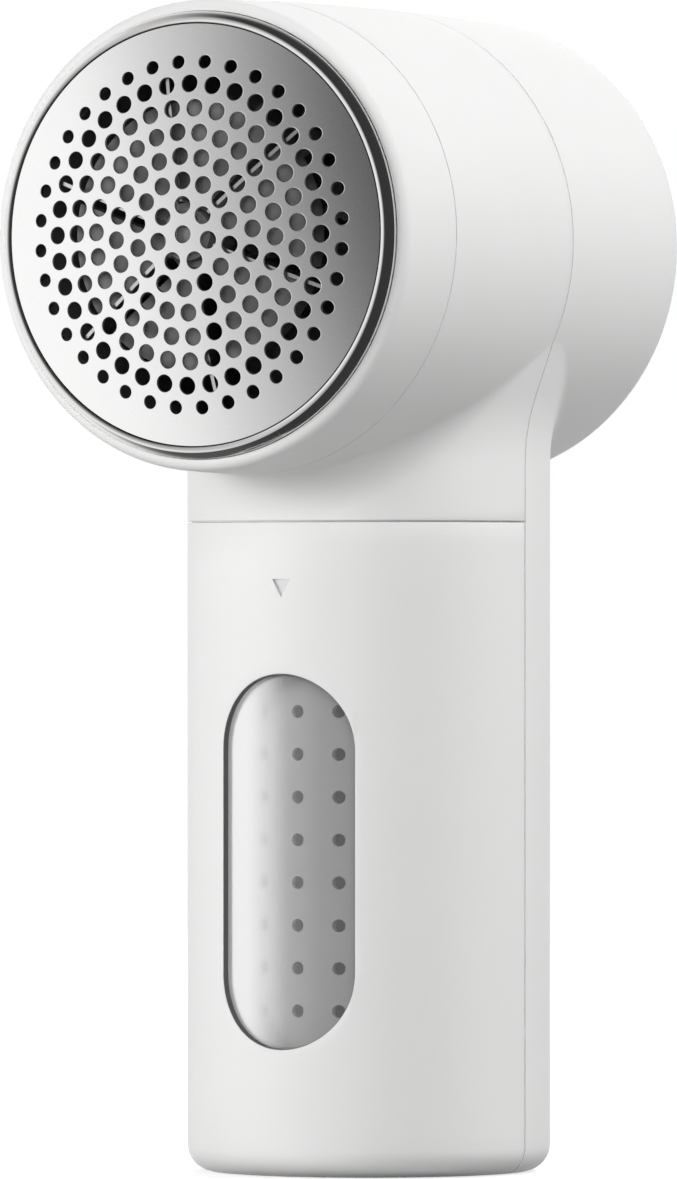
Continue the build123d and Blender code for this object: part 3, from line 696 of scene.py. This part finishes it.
# The bin's skin at a radius: both the outer face and the inner one have the same rows and columns
def binSkin(sizes, radius, floorZ, rounding):
    half, straight = windowHalves(sizes)
    middle, startZ, splitY = sizes["windowCentre"], form["baseRounding"], form["splitY"]
    side = np.linspace(math.asin(half / radius), math.acos(-splitY / radius), sizes["sideColumns"] + 1)
    inside = np.linspace(-math.pi / 2, math.pi / 2, sizes["windowColumns"] + 1)[1:-1]
    turns = np.concatenate([-side[::-1], np.arcsin(half * np.sin(inside) / radius), side])
    x = radius * np.sin(turns)
    dip = np.sqrt(np.maximum(half ** 2 - np.minimum(np.abs(x), half) ** 2, 0)) + straight
    ring = np.stack([np.sin(turns), -np.cos(turns)], axis=1)
    rows, outward = [], []

    def addRow(flat, z, out, up):
        rows.append(np.column_stack([flat, np.broadcast_to(z, len(turns))]))
        outward.append(np.column_stack([ring * out, np.full(len(turns), up)]))

    # Floor, rounding, and the wall below the window
    pole, inset = np.array([0, splitY]), form["handleRadius"] - startZ
    bottom = ring * inset
    corner = math.sqrt(inset ** 2 - splitY ** 2)
    bottom[[0, -1]] = [[-corner, splitY], [corner, splitY]]
    for share in (0, 0.3, 0.65):
        addRow(pole + (bottom - pole) * share, floorZ, 0, -1)
    for t in np.linspace(0, math.pi / 2, 10)[:-1]:
        flat = ring * (inset + rounding * math.sin(t))
        flat[[0, -1], 1] = splitY
        addRow(flat, startZ - (startZ - floorZ) * math.cos(t), math.sin(t), -math.cos(t))
    for t in np.linspace(0, 1, 10):
        addRow(ring * radius, startZ + (middle - dip - startZ) * t, 1, 0)
    lower = len(rows)

    # The wall above the window, then the two sides of it
    for t in np.linspace(0, 1, 12):
        addRow(ring * radius, middle + dip + (form["binTop"] - middle - dip) * t, 1, 0)
    points, outs = [np.vstack(rows)], [np.vstack(outward)]
    faces = gridFaces(lower, len(turns)) + gridFaces(len(rows) - lower, len(turns), lower * len(turns))
    start, count = len(points[0]), sizes["sideColumns"] + 1
    heights = middle + straight * np.linspace(-1, 1, sizes["windowRows"])
    for around in (ring[:count], ring[-count:]):
        points += [np.column_stack([around * radius, np.full(count, z)]) for z in heights]
        outs += [np.column_stack([around, np.zeros(count)])] * len(heights)
        faces += gridFaces(len(heights), count, start)
        start += len(heights) * count
    return np.vstack(points), faces, np.vstack(outs)


def makeBin(sizes):
    radius, rounding, wall = form["handleRadius"], form["baseRounding"], sizes["wall"]
    points, faces, outward = binSkin(sizes, radius, 0, rounding)
    inner = binSkin(sizes, radius - wall, sizes["floor"], rounding - wall)[0]
    faces = facePatch(points, faces, outward)
    points, faces, both = weld(points, faces, np.hstack([outward, inner]))
    return closedWall(points, both[:, 3:], faces)


# The triangle of the mark, from a depth under each of its corners back to a level depth
def makeMark(sizes, fronts, back):
    wide, top = sizes["markWidth"] / 2, sizes["markTop"]
    corners = ((-wide, top), (wide, top), (0, top - sizes["markHeight"]))
    points = [(x, depth - form["handleRadius"], z)
              for depths in (fronts, (back,) * 3) for (x, z), depth in zip(corners, depths)]
    return np.array(points), [[0, 2, 1], [3, 4, 5], [0, 1, 4, 3], [1, 2, 5, 4], [2, 0, 3, 5]]


# The bin's back wall, with a pair of ribs for each rail of the chassis
def makeBinBack(sizes):
    back, low, top = sizes["backY"], sizes["floor"] - 0.1, form["binTop"]
    reach = math.sqrt((form["handleRadius"] - sizes["wall"] + 0.2) ** 2 - back ** 2) - 0.3
    parts = [boxParts((-reach, back - sizes["backWall"], low), (reach, back, top))]
    half = sizes["ribWidth"] / 2
    for rail in (-sizes["railX"], sizes["railX"]):
        for way in (-1, 1):
            x = rail + way * (sizes["railWidth"] + sizes["ribWidth"]) / 2
            parts.append(boxParts((x - half, back - 0.1, low), (x + half, sizes["ribBack"], top)))
    return joinParts(*parts)


lintBin = makePiece("lintBin", *makeBin(binSizes), whitePlastic)
softenEdges(lintBin, binSizes["edge"])
cutWith(lintBin, *makeMark(binSizes, (-1, -1, -1), binSizes["markDepth"]))
# The mark's floor: its front leans by a depth at each corner, and its darker grey is painted shade in the
# recess
markFloor = makePiece("markFloor", *makeMark(binSizes, binSizes["inlayDepths"], binSizes["markDepth"]),
                      markShadePlastic)
binBack = makePiece("binBack", *makeBinBack(binSizes), whitePlastic, bevel=binSizes["edge"])
dress(lintBin, "bin", "white_plastic", "lint_bin")
dress(binBack, "bin", "white_plastic")
dress(markFloor, "bin", "white_plastic")


# Head ring: the white front of the head

ringSizes = {"lip": 30.6, "rounding": 1.6, "lipEdge": 0.25, "skirtOuter": 30.05, "skirtInner": 28.85,
             "webThickness": 1.2, "skirtLength": 4.5}


def ringProfile(sizes):
    back, ball = form["ringSeam"] - form["gap"], sizes["rounding"]
    web, skirt = back - sizes["webThickness"], back + sizes["skirtLength"]
    roundY = form["front"] + ball
    roundR, lean = endBall(roundY, ball)
    profile = [(barrelRadius(y), y) for y in np.linspace(back, roundY - ball * math.sin(lean), 8)]
    profile += [(roundR + ball * math.cos(t), roundY - ball * math.sin(t))
                for t in np.linspace(lean, math.pi / 2, 12)[1:]]
    return profile + [(sizes["lip"], form["front"] + sizes["lipEdge"]), (sizes["lip"], web),
                      (sizes["skirtInner"], web), (sizes["skirtInner"], skirt),
                      (sizes["skirtOuter"], skirt), (sizes["skirtOuter"], back)]


headRing = makePiece("headRing", *turnAboutHead(ringProfile(ringSizes)), whitePlastic, 40)
dress(headRing, "foil_head", "white_plastic", "head_ring")


# Foil rim: a rolled bead of bright steel with a skirt behind it

# The lean of the bead's surface, in degrees, at shares of its width from the foil outward
rimSizes = {"inner": 28.95, "outer": 30.56, "front": -49.95, "back": -44.5,
            "shares": (0, 0.06, 0.32, 0.45, 0.57, 1), "leans": (-65, -20, 2, 17, 47, 64)}


def rimProfile(sizes):
    share = np.linspace(0, 1, 49)
    slope = np.tan(np.radians(np.interp(share, sizes["shares"], sizes["leans"])))
    radius = sizes["inner"] + (sizes["outer"] - sizes["inner"]) * share
    fall = np.concatenate([[0], np.cumsum(np.diff(radius) * (slope[1:] + slope[:-1]) / 2)])
    bead = list(zip(radius, sizes["front"] + fall - fall.min()))
    return [(sizes["inner"], sizes["back"]), (sizes["outer"], sizes["back"])] + bead[::-1]


foilRim = makePiece("foilRim", *turnAboutHead(rimProfile(rimSizes)), polishedSteel, 40)
dress(foilRim, "foil_head", "polished_steel", "foil_rim")


# Foil: domed, perforated sheet, laid out by geometry nodes

foilSizes = {"radius": 28.8, "rise": 3.12, "thickness": 0.3, "skirt": 2.0, "edgeY": -49.8,
             "hole": 1.15, "outerHole": 0.875, "edge": 0.15, "segments": 288, "holeSegments": 26}
foilBall = (foilSizes["radius"] ** 2 + foilSizes["rise"] ** 2) / (2 * foilSizes["rise"])
# Rings of holes: radius as a share of the foil's, count, and angle of the first one
holeRings = ((0, 1, 0), (0.1389, 7, -11.8), (0.2549, 14, -11.8), (0.3708, 20, 3.5), (0.4861, 26, -2.0),
             (0.6007, 31, 4.7), (0.7153, 36, -0.5), (0.8205, 36, 4.5))


# The wall of one hole: a grid bent round, three rows of rounded front edge and one straight down
def addHoleWall(maker, radius, edge, thickness, segments):
    grid = maker.node("GeometryNodeMeshGrid", {"Size X": 1.0, "Size Y": 1.0, "Vertices X": segments + 1,
                                               "Vertices Y": 5})
    spot = maker.split(maker.node("GeometryNodeInputPosition").outputs[0])
    around = maker.math("MULTIPLY", maker.math("ADD", spot[0], 0.5), 2 * math.pi)
    row = maker.math("MULTIPLY", maker.math("SUBTRACT", 0.5, spot[1]), 4.0)
    turn = maker.math("MULTIPLY", maker.math("DIVIDE", row, 3.0, clamp=True), math.pi / 2)
    last = maker.math("MULTIPLY", maker.math("SUBTRACT", row, 3.0, clamp=True),
                      maker.math("SUBTRACT", thickness, edge))
    out, down = (maker.math("MULTIPLY", maker.math("SUBTRACT", 1.0, maker.math(kind, turn)), edge)
                 for kind in ("SINE", "COSINE"))
    reach = maker.math("ADD", radius, out)
    place = maker.node("ShaderNodeCombineXYZ", {
        0: maker.math("MULTIPLY", reach, maker.math("COSINE", around)),
        1: maker.math("MULTIPLY", reach, maker.math("SINE", around)),
        2: maker.math("MULTIPLY", maker.math("ADD", down, last), -1.0)}).outputs[0]
    return maker.node("GeometryNodeSetPosition", {"Geometry": grid.outputs[0], "Position": place}).outputs[0]


# Points where the holes of one ring go
def addRing(maker, foilRadius, share, count, first):
    if count == 1:
        return maker.node("GeometryNodeMeshLine", {"Count": 1}).outputs["Mesh"]
    ring = maker.node("GeometryNodeMeshCircle", {"Vertices": count,
                                                 "Radius": maker.math("MULTIPLY", foilRadius, share)})
    turned = {"Geometry": ring.outputs["Mesh"], "Rotation": (0, 0, math.radians(first))}
    return maker.node("GeometryNodeTransform", turned).outputs[0]


# The tree of the foil, and the identifiers of its inputs
def foilTree(sizes):
    tree = bpy.data.node_groups.new("perforatedFoil", "GeometryNodeTree")
    maker = NodeMaker(tree)
    sockets = [("Geometry", "Geometry", "OUTPUT"), ("Geometry", "Geometry", "INPUT")]
    names = ("Foil radius", "Rise", "Thickness", "Hole radius", "Outer hole radius", "Edge")
    sockets += [(name, "Float", "INPUT") for name in names] + [("Material", "Material", "INPUT")]
    ids = {}
    for name, kind, way in sockets:
        made = tree.interface.new_socket(name, in_out=way, socket_type="NodeSocket" + kind)
        ids[name] = made.identifier
    given = maker.node("NodeGroupInput").outputs
    radius, rise, thickness, hole, outerHole, edge = (given[name] for name in names)

    def change(kind, geometry, **inputs):
        return maker.node("GeometryNode" + kind, {0: geometry, **inputs}).outputs[0]

    def join(*parts):
        made = maker.node("GeometryNodeJoinGeometry")
        for part in parts:
            tree.links.new(part, made.inputs[0])
        return made.outputs[0]

    def square(value):
        return maker.math("MULTIPLY", value, value)

    inner = join(*[addRing(maker, radius, *ring) for ring in holeRings[:-1]])
    places = ((inner, hole), (addRing(maker, radius, *holeRings[-1]), outerHole))

    # A flat sheet with every hole left open
    def addSheet(grow, rim):
        def circle(count, reach):
            inputs = {"Resolution": count, "Radius": reach}
            return maker.node("GeometryNodeCurvePrimitiveCircle", inputs).outputs["Curve"]
        loops = [change("InstanceOnPoints", points,
                        Instance=circle(sizes["holeSegments"], maker.math("ADD", reach, grow)))
                 for points, reach in places]
        curves = change("RealizeInstances", join(circle(sizes["segments"], rim), *loops))
        return change("FillCurve", curves)

    front = addSheet(edge, radius)
    sink = maker.node("ShaderNodeCombineXYZ", {2: maker.math("MULTIPLY", thickness, -1.0)}).outputs[0]
    back = change("Transform", addSheet(0.0, maker.math("SUBTRACT", radius, thickness)), Translation=sink)
    walls = [change("InstanceOnPoints", points,
                    Instance=addHoleWall(maker, reach, edge, thickness, sizes["holeSegments"]))
             for points, reach in places]
    flat = change("RealizeInstances", join(front, back, *walls))

    # Raise everything onto the dome, then join it to the skirt and stand it in its place
    spot = maker.split(maker.node("GeometryNodeInputPosition").outputs[0])
    away = maker.math("ADD", square(spot[0]), square(spot[1]))
    ball = maker.math("DIVIDE", maker.math("ADD", square(radius), square(rise)),
                      maker.math("MULTIPLY", rise, 2.0))
    drop = maker.math("SQRT", maker.math("SUBTRACT", square(ball), away))
    height = maker.math("SUBTRACT", drop, maker.math("SUBTRACT", ball, rise))
    lift = maker.node("ShaderNodeCombineXYZ", {2: height}).outputs[0]
    whole = join(change("SetPosition", flat, Offset=lift), given["Geometry"])
    whole = change("MergeByDistance", whole, Distance=0.002 * mm)
    whole = change("Transform", whole, Rotation=(math.pi / 2, 0, 0),
                   Translation=(0, sizes["edgeY"] * mm, form["axisZ"] * mm))
    whole = change("SetShadeSmooth", whole)
    whole = change("RealizeInstances", whole)
    whole = change("SetMaterial", whole, Material=given["Material"])
    maker.node("NodeGroupOutput", {0: whole})
    return tree, ids


# The skirt of the foil, an open band whose ends meet the front and the back sheet
def foilSkirt(sizes):
    inside = sizes["radius"] - sizes["thickness"]
    hollow = math.sqrt(foilBall ** 2 - inside ** 2) - (foilBall - sizes["rise"]) - sizes["thickness"]
    profile = [(sizes["radius"], 0), (sizes["radius"], -sizes["skirt"]), (inside, -sizes["skirt"]),
               (inside, hollow)]
    turns = np.arange(sizes["segments"]) * 2 * math.pi / sizes["segments"]
    rows = [aboutHandle(radius, turns, z, 1) for radius, z in profile]
    return np.vstack(rows), gridFaces(4, sizes["segments"], wrap=True)


# The sheet's long triangles take the dome's own directions, so that reflections run smoothly over them
def smoothDome(mesh, sizes):
    centre = np.array([0, sizes["edgeY"] + foilBall - sizes["rise"], form["axisZ"]]) * mm
    spots, corners = np.empty(len(mesh.vertices) * 3), np.empty(len(mesh.loops) * 3)
    owner = np.empty(len(mesh.loops), dtype=np.int32)
    mesh.vertices.foreach_get("co", spots)
    mesh.corner_normals.foreach_get("vector", corners)
    mesh.loops.foreach_get("vertex_index", owner)
    away, corners = spots.reshape(-1, 3) - centre, corners.reshape(-1, 3)
    reach = np.linalg.norm(away, axis=1)
    onDome = np.abs(reach - foilBall * mm) < 0.0015 * mm
    dome = away[owner] / reach[owner][:, None]
    take = onDome[owner] & ((corners * dome).sum(axis=1) > 0.85)
    corners[take] = dome[take]
    mesh.normals_split_custom_set([tuple(c) for c in corners])


def makeFoil(sizes):
    tree, ids = foilTree(sizes)
    foil = addMesh("foilSheet", *foilSkirt(sizes))
    modifier = foil.modifiers.new("perforations", "NODES")
    modifier.node_group = tree
    values = {"Foil radius": "radius", "Rise": "rise", "Thickness": "thickness", "Hole radius": "hole",
              "Outer hole radius": "outerHole", "Edge": "edge"}
    for name, key in values.items():
        modifier[ids[name]] = sizes[key] * mm
    modifier[ids["Material"]] = foilSteel
    finishPiece(foil, foilSteel)
    print("foil edges that are not shared by two faces:", faceOutward(foil.data))
    foil.data.set_sharp_from_angle(angle=math.radians(35))
    smoothDome(foil.data, sizes)
    return foil


foilSheet = makeFoil(foilSizes)
dress(foilSheet, "foil_head", "brushed_steel", "foil")


# Window pane: a clear plug that fills the opening, a little below the face of the bin

paneSizes = {"outer": 24.2, "inner": 21.7, "clearance": 0.08, "edge": 0.3, "columns": 60, "rows": 72}


def makePane(sizes, opening):
    half, straight = windowHalves(opening)
    half -= sizes["clearance"]
    x = half * np.sin(np.linspace(-math.pi / 2, math.pi / 2, sizes["columns"] + 1))
    reach = straight + np.sqrt(np.maximum(half ** 2 - x ** 2, 0))
    skins = []
    for radius in (sizes["outer"], sizes["inner"]):
        rows = [np.column_stack([x, -np.sqrt(radius ** 2 - x ** 2), opening["windowCentre"] + reach * v])
                for v in np.linspace(-1, 1, sizes["rows"] + 1)]
        skins.append(np.vstack(rows))
    faces = facePatch(skins[0], gridFaces(sizes["rows"] + 1, sizes["columns"] + 1), skins[0] * (1, 1, 0))
    return closedWall(*skins, faces)


windowPane = makePiece("windowPane", *makePane(paneSizes, binSizes), clearPane, bevel=paneSizes["edge"])
dress(windowPane, "bin", "clear_plastic", "bin_window")


# Window sleeve: a thin dark grey sheet that lines the opening, painted shade on the opening's walls

shadeSleeveSizes = {"thickness": 0.06, "below": 0.06, "depth": 2.2, "around": 200}


def makeShadeSleeve(sizes, opening):
    half, straight = windowHalves(opening)
    inner, face = half - sizes["thickness"], form["handleRadius"] - sizes["below"]
    deep = form["handleRadius"] - sizes["depth"]
    turns = np.arange(sizes["around"]) * 2 * math.pi / sizes["around"]
    lift = opening["windowCentre"] + np.where(np.sin(turns) >= 0, straight, -straight)
    rings = []
    for reach, radius in ((half, face), (inner, face), (inner, deep), (half, deep)):
        x = reach * np.cos(turns)
        rings.append(np.column_stack([x, -np.sqrt(radius ** 2 - x ** 2), lift + reach * np.sin(turns)]))
    return np.vstack(rings), gridFaces(4, sizes["around"], wrap=True, closed=True)


windowShadeSleeve = makePiece("windowShadeSleeve", *makeShadeSleeve(shadeSleeveSizes, binSizes), revealShadePlastic)
dress(windowShadeSleeve, "bin", "grey_plastic")


# Hub cap: closes the bore in the middle of the blade carrier

capSizes = {"radius": 2.6, "front": -52.05, "rim": -51.8, "back": -51.3, "segments": 64}


def makeCap(sizes):
    profile = [(sizes["radius"] * math.sin(t), sizes["rim"] - (sizes["rim"] - sizes["front"]) * math.cos(t))
               for t in np.linspace(0, math.pi / 2, 8)]
    profile += [(sizes["radius"], sizes["back"]), (0, sizes["back"])]
    points, faces = turnAboutHead(profile, sizes["segments"])
    return weld(points, turnOver(faces), points)[:2]  # these look outward


hubCap = makePiece("hubCap", *makeCap(capSizes), greyPlastic)
dress(hubCap, "rotor", "grey_plastic")


# Camera, floor and lights

view = {"place": (0.7657, -1.4061, 0.0802), "turn": 28.75, "lens": 348.8, "shift": (0.0046, 0.0071)}
cameraData = bpy.data.cameras.new("camera")
cameraData.lens = view["lens"]
cameraData.sensor_width = 36
cameraData.sensor_fit = "AUTO"
cameraData.shift_x, cameraData.shift_y = view["shift"]
cameraData.clip_start, cameraData.clip_end = 0.05, 30
camera = addObject("camera", cameraData)
camera.location = view["place"]
camera.rotation_euler = (math.radians(90), 0, math.radians(view["turn"]))
scene.camera = camera

# Ramps over a direction's X, Y or Z: where each starts and ends, and its level at both
studio = {"ambient": 0.0, "white": 1.0, "panelTilt": 0.32, "panelEdge": (-0.62, -0.44, 0.38, 0.0),
          "panelFade": (-0.5, 0.0, 0.66, 0.045), "behind": (0.15, 0.6, 0.0, 1.0),
          "below": (-0.8, -0.4, 0.1, 1.0), "dark": 0.045, "floorSize": 12000.0, "floorColour": 0.35,
          "nearGlow": 0.78, "glowEnds": (0.15, 0.9)}


# What shiny surfaces see in a direction: a bright panel on the left that fades into a dark side,
# the white background behind, and less light from below
def panelLevel(maker, direction):
    spot = maker.split(direction)
    across = maker.math("MULTIPLY_ADD", spot["Z"], studio["panelTilt"], spot["X"])
    panel = maker.math("ADD", maker.ramp(across, *studio["panelEdge"]),
                       maker.ramp(across, *studio["panelFade"]))
    level = maker.math("MAXIMUM", panel, maker.ramp(spot["Y"], *studio["behind"]))
    level = maker.math("MULTIPLY", level, maker.ramp(spot["Z"], *studio["below"]))
    return maker.math("MAXIMUM", level, studio["dark"])


# Plain light, with other shaders for reflections and for what the camera or glass sees
def pickByRay(maker, plain, shiny, seen):
    path = maker.node("ShaderNodeLightPath").outputs
    shown = maker.mixShaders(path["Is Glossy Ray"], plain, shiny)
    shown = maker.mixShaders(path["Is Transmission Ray"], shown, seen)
    return maker.mixShaders(path["Is Camera Ray"], shown, seen)


world = bpy.data.worlds.new("studio")
scene.world = world
world.use_nodes = True
maker = NodeMaker(world.node_tree)
sky = panelLevel(maker, maker.node("ShaderNodeTexCoord").outputs["Generated"])
glows = [maker.glow("ShaderNodeBackground", level) for level in (studio["ambient"], sky, studio["white"])]
maker.feed(pickByRay(maker, *glows), world.node_tree.nodes["World Output"].inputs["Surface"])

half = studio["floorSize"] / 2
floor = addMesh("floor", [(-half, -half, 0), (half, -half, 0), (half, half, 0), (-half, half, 0)],
                [(0, 1, 2, 3)])
floor.location.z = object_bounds()[0][2] - 0.0001
floor.parent = frame["bodies"]["bin"]  # so that the floor stays below the bin when it slides down
floorPaint, maker, shader, place = startMaterial("floorPaint")
maker.feedAll(shader, {"Base Color": (studio["floorColour"],) * 3 + (1,), "Roughness": 1.0,
                       "Specular IOR Level": 0.0})
distance = maker.node("ShaderNodeVectorMath", {0: place}, operation="LENGTH").outputs["Value"]
fade = maker.ramp(distance, *studio["glowEnds"], studio["nearGlow"], studio["white"])
seen = maker.node("ShaderNodeAddShader", {0: shader.outputs[0], 1: maker.glow("ShaderNodeEmission", fade)})
incoming = maker.node("ShaderNodeNewGeometry").outputs["Incoming"]
away = maker.node("ShaderNodeVectorMath", {0: incoming, "Scale": -1.0}, operation="SCALE").outputs[0]
shiny = maker.glow("ShaderNodeEmission", panelLevel(maker, away))
maker.feed(pickByRay(maker, shader.outputs[0], shiny, seen.outputs[0]),
           maker.tree.nodes["Material Output"].inputs["Surface"])
floor.data.materials.append(floorPaint)

# Each lamp: azimuth (0 is in front of the foil, 90 towards +X), elevation, distance and size in metres, watts
lamps = {
    "keyLeft": (-45, 5, 1.0, 0.4, 7.0),
    "frontRight": (25, 12, 1.0, 0.45, 4.4),
    "right": (100, 12, 1.0, 0.45, 1.0),
    "frontHigh": (0, 50, 1.0, 0.45, 0.6),
    "rearRight": (110, 50, 1.0, 0.45, 7.9),
    "rear": (208, 25, 1.0, 0.45, 6.5),
}
aim = Vector((0, 0, 0.09))
for name, (azimuth, elevation, distance, size, watts) in lamps.items():
    lampData = bpy.data.lights.new(name, "AREA")
    lampData.shape = "SQUARE"
    lampData.size = size
    lampData.energy = watts
    lamp = addObject(name, lampData)
    lamp.visible_glossy = False
    turn, rise = math.radians(azimuth), math.radians(elevation)
    away = Vector((math.sin(turn) * math.cos(rise), -math.cos(turn) * math.cos(rise), math.sin(rise)))
    lamp.location = aim + away * distance
    lamp.rotation_euler = away.to_track_quat("Z", "Y").to_euler()
print("studio set")

scene.view_settings.view_transform = "Standard"
